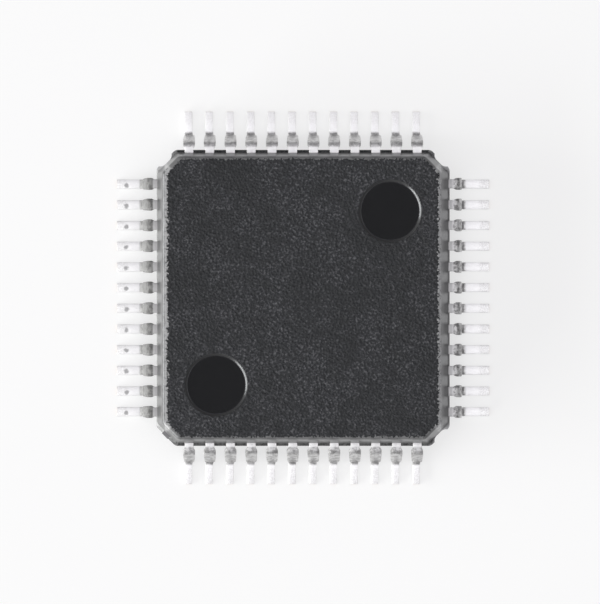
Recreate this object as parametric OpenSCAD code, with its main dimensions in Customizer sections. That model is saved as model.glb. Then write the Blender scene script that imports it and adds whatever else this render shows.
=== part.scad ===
// Low-profile quad flat pack with gull-wing leads on four sides.
// The origin is the middle of the body in plan, on the seating plane under the feet.
// The left, front, right and back sides face -X, -Y, +X and +Y.

/* [Moulded body] */
// Width and depth of the upper half of the moulding at the parting plane
body_size = 7; // [6.9:0.05:7.05]
// Thickness of the moulding from its underside to its top face
body_height = 1.4; // [1.35:0.05:1.5]
// Clearance under the moulding when the feet stand on a board
standoff = 0.1; // [0.05:0.01:0.15]
// Ledge where the lower half stands out past the upper half, on the left and right
side_ledge = 0.03; // [0.025:0.005:0.04]
// Ledge where the lower half stands out past the upper half, at the front and back
end_ledge = 0.065; // [0.03:0.005:0.075]
// Shift of the upper half of the mould to the left
mould_shift = 0.02; // [0:0.005:0.02]
// Draft of the side walls, in degrees
wall_draft = 15; // [8:1:16]
// Radius round the edges of the top face and the underside
edge_radius = 0.1; // [0.05:0.01:0.12]
// Length along a side that the flat across an upper corner takes away
upper_corner = 0.48; // [0.46:0.01:0.55]
// Length along a side that the flat across a lower corner takes away
lower_corner = 0.45; // [0.38:0.01:0.45]

/* [Corner notches and ejector marks] */
// Depth of the notch that the trimming punch leaves in three lower corners
notch_depth = 0.075; // [0.04:0.005:0.075]
// Width of a notch at its mouth
notch_mouth = 0.46; // [0.36:0.01:0.5]
// Width of a notch at its floor
notch_floor = 0.26; // [0.22:0.01:0.32]
// Diameter of the round marks that the ejector pins leave
ejector_diameter = 1.5; // [1:0.1:1.8]
// Distance of the round marks from the middle of the body, each way
ejector_offset = 2.09; // [1.8:0.01:2.2]
// Depth of the round marks
ejector_depth = 0.04; // [0.02:0.005:0.06]
// Width of the slope round the floor of a round mark
ejector_slope = 0.03; // [0.01:0.005:0.05]

/* [Lead frame] */
// Number of leads on each side
leads_per_side = 12; // [8:1:12]
// Distance between the middles of neighbouring leads outside the body
lead_pitch = 0.5; // [0.44:0.01:0.5]
// Distance between the middles of neighbouring lead tips inside the body
inner_pitch = 0.33; // [0.3:0.01:0.34]
// Thickness of the lead frame
lead_thickness = 0.127; // [0.11:0.001:0.15]
// Width of a lead
lead_width = 0.22; // [0.17:0.01:0.22]
// Width of a lead where the dam bar was cut away
stub_width = 0.28; // [0.24:0.01:0.32]
// Length over which a lead keeps that width, seen from above
stub_length = 0.24; // [0.16:0.01:0.28]
// Length of the slants at both ends of that width
stub_slant = 0.03; // [0.01:0.005:0.05]
// Distance across the tips of the feet on opposite sides
tip_span = 9; // [8.9:0.05:9.2]
// Distance from the foot of the upper half's wall to the first bend of a lead
shoulder_gap = 0.11; // [0.1:0.005:0.14]
// Radius inside the bend at the shoulder of a lead
shoulder_radius = 0.08; // [0.06:0.005:0.1]
// Radius inside the bend at the heel of a lead
heel_radius = 0.09; // [0.06:0.005:0.12]
// Slope of a lead between its bends, in degrees
leg_slope = 80; // [72:1:84]
// Gap between the die pad and the inner tips of the leads
tip_gap = 0.4; // [0.3:0.01:0.45]
// Length of the straight tip that takes the bond
tip_land = 0.2; // [0.18:0.01:0.3]
// Distance inside the wall at which the leads reach their outer pitch
fan_inset = 0.2; // [0.1:0.01:0.25]

/* [Die and pad] */
// Width and depth of the die pad
pad_size = 3.8; // [3.2:0.1:3.8]
// How far the die pad is pressed down below the leads
pad_downset = 0.2; // [0.15:0.01:0.25]
// Width of the tie bars that hold the die pad
tie_width = 0.2; // [0.14:0.01:0.2]
// Length of a tie bar between a corner of the pad and its first bend
tie_flat = 0.2; // [0.1:0.01:0.3]
// How far the tie bar at the corner without a notch stands out of the body
tie_proud = 0.015; // [0:0.005:0.03]
// Width and depth of the die
die_size = 2.5; // [2.3:0.1:2.8]
// Thickness of the die
die_thickness = 0.28; // [0.2:0.01:0.3]
// Thickness of the adhesive under the die
adhesive_thickness = 0.025; // [0.02:0.005:0.04]
// How far the adhesive stands out round the die
adhesive_margin = 0.1; // [0.05:0.01:0.15]

/* [Bond wires] */
// Distance between the middles of neighbouring bonds on the die
bond_pitch = 0.18; // [0.12:0.01:0.18]
// Radius of a bond wire, measured to its flats
wire_radius = 0.0125; // [0.01:0.0025:0.0175]
// Height of the loops above the die
loop_height = 0.15; // [0.12:0.01:0.2]
// Distance of the bonds inside the edge of the die
bond_inset = 0.08; // [0.06:0.01:0.1]
// Radius of the ball that bonds a wire to the die
ball_radius = 0.035; // [0.025:0.005:0.04]
// Height of that ball
ball_height = 0.02; // [0.015:0.005:0.03]
// Distance of the end of a wire from the tip of its lead
stitch_inset = 0.12; // [0.08:0.01:0.16]
// Length of wire that lies on the lead
stitch_length = 0.06; // [0.04:0.01:0.07]

/* [Hidden] */
$fn = 64;
side_names = ["left", "front", "right", "back"];
side_angles = [180, 270, 0, 90];
lead_total = len(side_names) * leads_per_side;

body_top = standoff + body_height;
// The frame runs through the middle of the body, and the mould parts at its upper face
lead_bottom = standoff + (body_height - lead_thickness) / 2;
parting = lead_bottom + lead_thickness;
lower_half_x = body_size / 2 + side_ledge;
lower_half_y = body_size / 2 + end_ledge;
upper_corner_reach = (body_size - upper_corner) / sqrt(2);
lower_corner_reach = (lower_half_x + lower_half_y - lower_corner) / sqrt(2);
notch_reach = lower_corner_reach - notch_depth;
notched_corners = [45, 135, 315];
whole_corner = 225;

lead_tip_reach = pad_size / 2 + tip_gap;
fan_end_reach = body_size / 2 - fan_inset;
shoulder_reach = body_size / 2 + shoulder_gap;
stub_end = shoulder_reach + stub_length;

pad_bottom = lead_bottom - pad_downset;
pad_top = pad_bottom + lead_thickness;
bar_bend_reach = pad_size / sqrt(2) + tie_flat;
die_bottom = pad_top + adhesive_thickness;
die_top = die_bottom + die_thickness;

bond_reach = die_size / 2 - bond_inset;
stitch_reach = lead_tip_reach + stitch_inset;
loop_top = die_top + loop_height;
wire_sides = 6;

function lead_name(number) = str("lead_", number < 10 ? "0" : "", number);
function wire_name(side) = str("bond_wires_", side_names[side]);
// Place of a lead in its row, counted from the middle of the row
function row_place(index) = index - (leads_per_side - 1) / 2;

// ---- Moulded body ----

// A half of the body seen along one of its walls, standing on the parting plane
module wall_profile(half_width, height) {
    arc_x = half_width - ((height - edge_radius) * sin(wall_draft) + edge_radius) / cos(wall_draft);
    wall_x = arc_x + edge_radius * cos(wall_draft);
    wall_z = height - edge_radius * (1 - sin(wall_draft));
    polygon([
        [-half_width, 0], [half_width, 0], [wall_x, wall_z],
        [arc_x, height], [-arc_x, height], [-wall_x, wall_z]
    ]);
    for (side = [-1, 1])
        translate([side * arc_x, height - edge_radius])
            circle(edge_radius);
}

module wall_pair(angle, half_width, height) {
    rotate([0, 0, angle])
        rotate([90, 0, 0])
            linear_extrude(2 * body_size, center = true)
                wall_profile(half_width, height);
}

// Half of the moulding: two pairs of side walls and two pairs of corner flats
module body_half(half_x, half_y, corner_reach, height) {
    intersection() {
        wall_pair(0, half_x, height);
        wall_pair(90, half_y, height);
        wall_pair(45, corner_reach, height);
        wall_pair(-45, corner_reach, height);
    }
}

module corner_notch(angle) {
    rotate([0, 0, angle])
        linear_extrude(body_top)
            polygon([
                [notch_reach, -notch_floor / 2], [lower_corner_reach, -notch_mouth / 2],
                [body_size, -notch_mouth / 2], [body_size, notch_mouth / 2],
                [lower_corner_reach, notch_mouth / 2], [notch_reach, notch_floor / 2]
            ]);
}

// Cutter for a round mark sunk below z = 0, which also reaches above it
module ejector_mark() {
    mouth = ejector_diameter / 2;
    rotate_extrude()
        polygon([
            [0, -ejector_depth], [mouth - ejector_slope, -ejector_depth],
            [mouth, 0], [mouth, ejector_depth], [0, ejector_depth]
        ]);
}

// The two marks of one face lie at its right rear and left front corners
module ejector_marks() {
    for (place = [-1, 1])
        translate([place * ejector_offset, place * ejector_offset, 0])
            ejector_mark();
}

module body_outside() {
    difference() {
        union() {
            translate([-mould_shift, 0, parting])
                body_half(body_size / 2, body_size / 2, upper_corner_reach, body_top - parting);
            translate([0, 0, parting])
                mirror([0, 0, 1])
                    body_half(lower_half_x, lower_half_y, lower_corner_reach, parting - standoff);
        }
        for (angle = notched_corners)
            corner_notch(angle);
        translate([0, 0, body_top])
            ejector_marks();
        translate([0, 0, standoff])
            mirror([0, 0, 1])
                ejector_marks();
    }
}

// The moulding fills every space round the frame, the die and the wires
module mould_body() {
    color("#3b3c3f")
        difference() {
            body_outside();
            for (number = [1:lead_total])
                flat_lead(number);
            pad_and_bars();
            adhesive_slab();
            die_block();
            for (side = [0:3])
                wire_row(side);
        }
}

// ---- Leads ----

// Outline of an unbent lead on the right side: inner tip, fan, dam bar stub and foot
module lead_outline(place) {
    inner = place * inner_pitch;
    outer = place * lead_pitch;
    half = lead_width / 2;
    stub = stub_width / 2;
    // Each station holds a distance from the body's middle, a centre line and a half width
    stations = [
        [lead_tip_reach, inner, half],
        [lead_tip_reach + tip_land, inner, half],
        [fan_end_reach, outer, half],
        [shoulder_reach, outer, half],
        [shoulder_reach + stub_slant, outer, stub],
        [stub_end - stub_slant, outer, stub],
        [stub_end, outer, half],
        [tip_span / 2, outer, half]
    ];
    last = len(stations) - 1;
    polygon(concat(
        [for (station = stations) [station[0], station[1] - station[2]]],
        [for (k = [last:-1:0]) [stations[k][0], stations[k][1] + stations[k][2]]]
    ));
}

// A bend of the frame about the z axis, from the x axis through an angle
module bend(inner_radius, angle) {
    rotate_extrude(angle = angle)
        translate([inner_radius, -body_size / 2])
            square([lead_thickness, body_size]);
}

// A flat stretch of the frame along the x axis, with its near face at the given height
module flat_stretch(length, height) {
    translate([0, height, -body_size / 2])
        cube([length, lead_thickness, body_size]);
}

// Sheet as wide as the body, bent to a lead's side view in the XY plane: shoulder, leg and foot.
// Each stretch is placed in the frame of the one before it, as a press forms it.
module bent_sheet() {
    tilt = 90 - leg_slope;
    bends_across = shoulder_radius + lead_thickness + heel_radius;
    bends_drop = lead_bottom - bends_across;
    leg_length = (bends_across * sin(tilt) + bends_drop) / cos(tilt);
    heel_reach = shoulder_reach + bends_across * cos(tilt) + leg_length * sin(tilt);
    translate([lead_tip_reach, 0, 0])
        flat_stretch(shoulder_reach - lead_tip_reach, lead_bottom);
    translate([shoulder_reach, lead_bottom - shoulder_radius, 0]) {
        rotate([0, 0, tilt])
            bend(shoulder_radius, leg_slope);
        rotate([0, 0, -leg_slope]) {
            flat_stretch(leg_length, shoulder_radius);
            translate([leg_length, bends_across, 0]) {
                rotate([0, 0, 270])
                    bend(heel_radius, leg_slope);
                rotate([0, 0, leg_slope])
                    flat_stretch(tip_span / 2 - heel_reach, -heel_radius - lead_thickness);
            }
        }
    }
}

function lead_side(number) = floor((number - 1) / leads_per_side);
function lead_place(number) = row_place((number - 1) % leads_per_side);

// Turns a lead of the right side to the side where its number puts it
module on_its_side(number) {
    rotate([0, 0, side_angles[lead_side(number)]])
        children();
}

// A lead before it is bent, at the height at which the moulding holds it
module flat_lead(number) {
    on_its_side(number)
        translate([0, 0, lead_bottom])
            linear_extrude(lead_thickness)
                lead_outline(lead_place(number));
}

// Leads are numbered counter-clockwise from the rear of the left side
module lead(number) {
    color("#c8c8c5")
        on_its_side(number)
            intersection() {
                rotate([90, 0, 0])
                    bent_sheet();
                linear_extrude(body_top)
                    lead_outline(lead_place(number));
            }
}

// ---- Die pad and die ----

// Side view of a tie bar, from the pad up to the level of the leads
module bar_profile(reach) {
    // The bends are mitred, so that the sloping stretch has the frame's full thickness
    mitre = lead_thickness * tan(22.5);
    bend_end = bar_bend_reach + pad_downset;
    polygon([
        [0, pad_bottom], [bar_bend_reach, pad_bottom],
        [bend_end, lead_bottom], [reach, lead_bottom],
        [reach, parting], [bend_end - mitre, parting],
        [bar_bend_reach - mitre, pad_top], [0, pad_top]
    ]);
}

module tie_bar(angle, reach) {
    rotate([0, 0, angle])
        rotate([90, 0, 0])
            linear_extrude(tie_width, center = true)
                bar_profile(reach);
}

module pad_and_bars() {
    translate([0, 0, pad_bottom])
        linear_extrude(lead_thickness)
            square(pad_size, center = true);
    for (angle = notched_corners)
        tie_bar(angle, notch_reach);
    tie_bar(whole_corner, lower_corner_reach + tie_proud);
}

module die_pad() {
    color("#b8a488")
        pad_and_bars();
}

module adhesive_slab() {
    translate([0, 0, pad_top])
        linear_extrude(adhesive_thickness)
            square(die_size + 2 * adhesive_margin, center = true);
}

module die_attach() {
    color("#d5d7da")
        adhesive_slab();
}

module die_block() {
    translate([0, 0, die_bottom])
        linear_extrude(die_thickness)
            square(die_size, center = true);
}

module die() {
    color("#5d6672")
        die_block();
}

// ---- Bond wires ----

function unit(v) = v / norm(v);
function turned_left(v) = [-v.y, v.x];
function heading(path, i) = unit(path[i + 1] - path[i]);
// Direction and length across the joint at point i of a wire of unit radius
function joint_across(path, i) =
    let (
        into = heading(path, max(i - 1, 0)),
        out = heading(path, min(i, len(path) - 2)),
        middle = unit(turned_left(into + out))
    )
    middle / (middle * turned_left(out));

// Heights of a wire over the run from its ball to its stitch
function wire_path(run) =
    let (rest = parting + wire_radius)
    [
        [0, die_top + ball_height / 2],
        [0, die_top + 0.6 * loop_height],
        [0.04 * run, loop_top],
        [0.4 * run, loop_top],
        [0.8 * run, parting + 0.45 * (loop_top - parting)],
        [run - stitch_length, rest],
        [run, rest]
    ];

// A wire swept along a path in the XZ plane, flat above and below
module swept_wire(path) {
    corner_radius = wire_radius / cos(180 / wire_sides);
    rings = len(path);
    points = [
        for (i = [0:rings - 1], k = [0:wire_sides - 1])
            let (
                angle = 360 * k / wire_sides,
                rise = corner_radius * sin(angle) * joint_across(path, i)
            )
            [path[i].x + rise.x, corner_radius * cos(angle), path[i].y + rise.y]
    ];
    sides = [
        for (i = [0:rings - 2], k = [0:wire_sides - 1])
            let (near = i * wire_sides, next = (k + 1) % wire_sides)
            [near + k, near + wire_sides + k, near + wire_sides + next, near + next]
    ];
    first_end = [for (k = [0:wire_sides - 1]) k];
    last_end = [for (k = [wire_sides - 1:-1:0]) (rings - 1) * wire_sides + k];
    polyhedron(points, concat([first_end], sides, [last_end]));
}

// Ball on the die, loop, and stitch on the inner tip of the lead
module bond_wire(place) {
    start = [bond_reach, place * bond_pitch];
    stitch = [stitch_reach, place * inner_pitch];
    span = stitch - start;
    translate(start)
        rotate([0, 0, atan2(span.y, span.x)]) {
            translate([0, 0, die_top])
                cylinder(h = ball_height, r = ball_radius);
            swept_wire(wire_path(norm(span)));
        }
}

module wire_row(side) {
    rotate([0, 0, side_angles[side]])
        for (index = [0:leads_per_side - 1])
            bond_wire(row_place(index));
}

module bond_wires(side) {
    color("gold")
        wire_row(side);
}

mould_body();
die_pad();
die_attach();
die();
for (side = [0:3])
    bond_wires(side);
for (number = [1:lead_total])
    lead(number);
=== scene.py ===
import logging
import math
from collections.abc import Callable
from dataclasses import dataclass, field
from enum import Enum
from typing import Any, ClassVar

import bmesh
import bpy
from mathutils import Matrix, Vector


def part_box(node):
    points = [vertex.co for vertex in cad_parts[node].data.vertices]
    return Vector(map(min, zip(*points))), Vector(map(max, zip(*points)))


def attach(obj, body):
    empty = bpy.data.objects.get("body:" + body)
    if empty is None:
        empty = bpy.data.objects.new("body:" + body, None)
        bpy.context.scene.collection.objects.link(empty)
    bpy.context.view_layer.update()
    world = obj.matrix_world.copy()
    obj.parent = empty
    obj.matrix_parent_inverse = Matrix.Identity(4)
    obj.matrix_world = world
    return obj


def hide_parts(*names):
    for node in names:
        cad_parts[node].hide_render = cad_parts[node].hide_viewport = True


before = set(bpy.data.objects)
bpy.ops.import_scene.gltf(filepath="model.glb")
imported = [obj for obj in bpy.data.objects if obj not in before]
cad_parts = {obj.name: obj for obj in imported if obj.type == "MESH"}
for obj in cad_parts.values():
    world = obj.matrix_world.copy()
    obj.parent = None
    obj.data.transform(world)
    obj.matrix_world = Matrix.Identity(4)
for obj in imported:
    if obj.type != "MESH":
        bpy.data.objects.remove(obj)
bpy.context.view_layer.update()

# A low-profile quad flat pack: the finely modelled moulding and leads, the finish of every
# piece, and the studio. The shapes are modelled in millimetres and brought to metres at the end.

MM = 1000.0
log = logging.getLogger("quad_flat_pack")


# ---- Tools of the bench ----


class Element(Enum):
    """What a selection in edit mode is made of."""

    VERT = "verts"
    EDGE = "edges"
    FACE = "faces"


class Side(Enum):
    """Sides of the pack, with the turn in degrees that brings the right side there."""

    LEFT = 180
    FRONT = 270
    RIGHT = 0
    BACK = 90

    @property
    def turn(self) -> Matrix:
        """Rotation that brings a lead of the right side to this side."""
        return Matrix.Rotation(math.radians(self.value), 4, "Z")


@dataclass(frozen=True)
class Box:
    """Lowest and highest corner of a CAD node, in millimetres."""

    low: Vector
    high: Vector

    @classmethod
    def of(cls, node: str) -> "Box":
        """Reads a node's box from the frame.

        Args:
            node: Name of the CAD node.

        Returns:
            Its box, in millimetres.
        """
        low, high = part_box(node)
        return cls(low * MM, high * MM)


class Workpiece:
    """A mesh shaped in edit mode, with every selection made by place or normal."""

    def __init__(self, obj: bpy.types.Object) -> None:
        """Opens an object for editing, with nothing selected.

        Args:
            obj: The object.
        """
        self.object = obj
        only(obj)
        bpy.ops.object.mode_set(mode="EDIT")
        bpy.ops.mesh.select_all(action="DESELECT")

    @classmethod
    def start(cls, name: str, add: Callable[..., Any], **place: Any) -> "Workpiece":
        """Adds a primitive at its size and place and opens it for editing.

        Args:
            name: Name of the new object.
            add: Operator that adds the primitive.
            **place: Its size and place, in millimetres.

        Returns:
            The primitive, open for editing.
        """
        bpy.ops.object.select_all(action="DESELECT")
        add(**place)
        bpy.ops.object.transform_apply(location=True, rotation=True, scale=True)
        obj = bpy.context.active_object
        obj.name = obj.data.name = name
        return cls(obj)

    @property
    def mesh(self) -> bmesh.types.BMesh:
        """The mesh under the hand, in edit mode."""
        return bmesh.from_edit_mesh(self.object.data)

    def pick(self, kind: Element, test: Callable[[Any], bool]) -> int:
        """Selects the elements that pass a test, and nothing else.

        Args:
            kind: Vertices, edges or faces.
            test: Says of one element whether it is wanted.

        Returns:
            The number of elements selected.
        """
        bpy.ops.mesh.select_all(action="DESELECT")
        bpy.ops.mesh.select_mode(type=kind.name)
        mesh = self.mesh
        found = [element for element in getattr(mesh, kind.value) if test(element)]
        for element in found:
            element.select_set(True)
        mesh.select_flush_mode()
        bmesh.update_edit_mesh(self.object.data)
        return len(found)

    def close(self) -> bpy.types.Object:
        """Leaves edit mode with all faces turned outwards.

        Returns:
            The finished object, still in millimetres.
        """
        bpy.ops.mesh.select_all(action="SELECT")
        bpy.ops.mesh.normals_make_consistent(inside=False)
        bpy.ops.mesh.select_all(action="DESELECT")
        bpy.ops.object.mode_set(mode="OBJECT")
        return self.object


def middle(element: Any) -> Vector:
    """Middle of an edge or a face."""
    return sum((v.co for v in element.verts), Vector()) / len(element.verts)


def only(obj: bpy.types.Object) -> None:
    """Makes an object the one that operators act on.

    Args:
        obj: The object.
    """
    bpy.ops.object.select_all(action="DESELECT")
    obj.select_set(True)
    bpy.context.view_layer.objects.active = obj


def place(obj: bpy.types.Object, matrix: Matrix) -> None:
    """Moves an object by a matrix and leaves it at the origin with the place in its mesh.

    Args:
        obj: The object.
        matrix: Where it goes.
    """
    only(obj)
    obj.matrix_world = matrix @ obj.matrix_world
    bpy.ops.object.transform_apply(location=True, rotation=True, scale=True)


def to_metres(obj: bpy.types.Object) -> None:
    """Brings a piece modelled in millimetres to the frame's metres."""
    place(obj, Matrix.Scale(1 / MM, 4))


def apply(obj: bpy.types.Object, kind: str, **settings: Any) -> None:
    """Adds a modifier to an object and applies it.

    Args:
        obj: The object.
        kind: Type of the modifier.
        **settings: Values of the modifier's properties.
    """
    only(obj)
    modifier = obj.modifiers.new(kind.lower(), kind)
    for name, value in settings.items():
        setattr(modifier, name, value)
    bpy.ops.object.modifier_apply(modifier=modifier.name)


def twin(obj: bpy.types.Object, name: str) -> bpy.types.Object:
    """Copies an object with a mesh of its own.

    Args:
        obj: What is copied.
        name: Name of the copy.

    Returns:
        The copy.
    """
    copy = obj.copy()
    copy.data = obj.data.copy()
    copy.name = copy.data.name = name
    bpy.context.collection.objects.link(copy)
    return copy


def merged_copy(node: str) -> bpy.types.Object:
    """Copies a CAD node into a closed mesh in millimetres.

    Args:
        node: Name of the CAD node.

    Returns:
        The copy, with its loose triangles joined.
    """
    copy = twin(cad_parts[node], f"{node}_core")
    copy.parent = None
    for key in list(copy.keys()):
        del copy[key]
    place(copy, Matrix.Scale(MM, 4))
    bpy.ops.object.mode_set(mode="EDIT")
    bpy.ops.mesh.select_all(action="SELECT")
    bpy.ops.mesh.remove_doubles(threshold=1e-5)
    bpy.ops.object.mode_set(mode="OBJECT")
    return copy


def carve(obj: bpy.types.Object, cutter: bpy.types.Object) -> None:
    """Cuts one mesh out of another and removes the cutter.

    Args:
        obj: What is cut.
        cutter: The space to cut away.
    """
    apply(obj, "BOOLEAN", operation="DIFFERENCE", solver="EXACT", object=cutter)
    bpy.data.objects.remove(cutter)


def coat(node: str, material: bpy.types.Material) -> None:
    """Gives a CAD node its finish.

    Args:
        node: Name of the node.
        material: Its material.
    """
    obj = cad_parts[node]
    if not obj.material_slots:
        obj.data.materials.append(material)
    for slot in obj.material_slots:
        slot.link = "OBJECT"
        slot.material = material
    log.info("%s: %s", node, material.name)


def install(piece: bpy.types.Object, node: str, material: bpy.types.Material) -> None:
    """Dresses a new piece and puts it in the place of its CAD node.

    Args:
        piece: The finished piece.
        node: CAD node that it stands for.
        material: Its material.
    """
    piece.data.materials.clear()
    piece.data.materials.append(material)
    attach(piece, "root")
    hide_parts(node)
    log.info("%s: %d faces, %s", piece.name, len(piece.data.polygons), material.name)


# ---- Finishes ----


class Graph:
    """The node tree of one material, wired by short calls."""

    def __init__(self, name: str) -> None:
        """Starts a material with a Principled shader.

        Args:
            name: Name of the material.
        """
        self.material = bpy.data.materials.new(name)
        self.material.use_nodes = True
        self.tree = self.material.node_tree
        self.shader = self.tree.nodes["Principled BSDF"]
        self.place = self.add("ShaderNodeTexCoord").outputs["Object"]

    def add(self, kind: str, links: dict[Any, Any] | None = None, **settings: Any) -> Any:
        """Adds a node.

        Args:
            kind: Type of the node.
            links: Value or socket for each input, by its name or number.
            **settings: Values of the node's own properties.

        Returns:
            The node.
        """
        node = self.tree.nodes.new(kind)
        for name, value in settings.items():
            setattr(node, name, value)
        for key, value in (links or {}).items():
            self.feed(node.inputs[key], value)
        return node

    def feed(self, socket: Any, value: Any) -> None:
        """Sets a socket to a plain value or links another socket to it.

        Args:
            socket: The socket that takes the value.
            value: Plain value, or socket to link.
        """
        if isinstance(value, bpy.types.NodeSocket):
            self.tree.links.new(value, socket)
        else:
            socket.default_value = value

    def math(self, operation: str, *values: Any, clamp: bool = False) -> Any:
        """Adds a Math node.

        Args:
            operation: What it works out.
            *values: Its inputs, plain or linked.
            clamp: Whether the result stays between 0 and 1.

        Returns:
            Its output socket.
        """
        links = dict(enumerate(values))
        return self.add("ShaderNodeMath", links, operation=operation, use_clamp=clamp).outputs[0]

    def ramp(self, value: Any, start: Any, end: Any, low: float = 0.0, high: float = 1.0) -> Any:
        """Maps a value smoothly from one range to another.

        Args:
            value: Socket to map.
            start: Value that becomes low.
            end: Value that becomes high.
            low: Result at the start.
            high: Result at the end.

        Returns:
            Its output socket.
        """
        links = {"Value": value, "From Min": start, "From Max": end, "To Min": low, "To Max": high}
        node = self.add("ShaderNodeMapRange", links, interpolation_type="SMOOTHSTEP")
        return node.outputs["Result"]

    def mix(self, factor: Any, first: Any, second: Any) -> Any:
        """Mixes two colours.

        Args:
            factor: Share of the second.
            first: First colour.
            second: Second colour.

        Returns:
            The mixed colour's socket.
        """
        node = self.add("ShaderNodeMix", data_type="RGBA")
        for socket, value in zip((node.inputs[0], node.inputs[6], node.inputs[7]), (factor, first, second)):
            self.feed(socket, value)
        return node.outputs[2]

    def noise(self, grain: float, detail: float = 3.0, rough: float = 0.5, place: Any = None) -> Any:
        """Adds noise of a given grain.

        Args:
            grain: Size of its grains, in millimetres.
            detail: Octaves of finer grain.
            rough: Strength of the finer grain.
            place: Where it is read, if not in the piece's own place.

        Returns:
            Its value's socket.
        """
        links = {"Vector": place or self.place, "Scale": MM / grain, "Detail": detail, "Roughness": rough}
        return self.add("ShaderNodeTexNoise", links).outputs[0]

    def cells(self, grain: float, **settings: Any) -> Any:
        """Adds a cell pattern and returns the distance to its points."""
        links = {"Vector": self.place, "Scale": MM / grain}
        return self.add("ShaderNodeTexVoronoi", links, **settings).outputs["Distance"]

    def bump(self, height: Any, depth: float, under: Any = None) -> Any:
        """Adds relief from a height.

        Args:
            height: Socket of the height, from 0 to 1.
            depth: Depth of the relief, in millimetres.
            under: Normal that the relief lies on.

        Returns:
            The normal's socket.
        """
        links = {"Height": height, "Distance": depth / MM, "Strength": 1.0}
        if under is not None:
            links["Normal"] = under
        return self.add("ShaderNodeBump", links).outputs["Normal"]

    def set(self, **values: Any) -> None:
        """Sets or links the shader's inputs, with spaces in their names as underscores."""
        for name, value in values.items():
            self.feed(self.shader.inputs[name.replace("_", " ")], value)


def grey(level: float, warmth: float = 0.0) -> tuple[float, float, float, float]:
    """A grey with a slight tint, warm above zero and blue below."""
    return (level * (1 + max(warmth, 0.0)), level, level * (1 - warmth), 1.0)


@dataclass(frozen=True)
class Spot:
    """Sockets that say where on the moulding a point lies, and how its grain runs there."""

    across: Any
    along: Any
    rise: Any
    x: Any
    y: Any
    beside: Any
    facing: Any
    fine: Any
    coarse: Any


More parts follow.
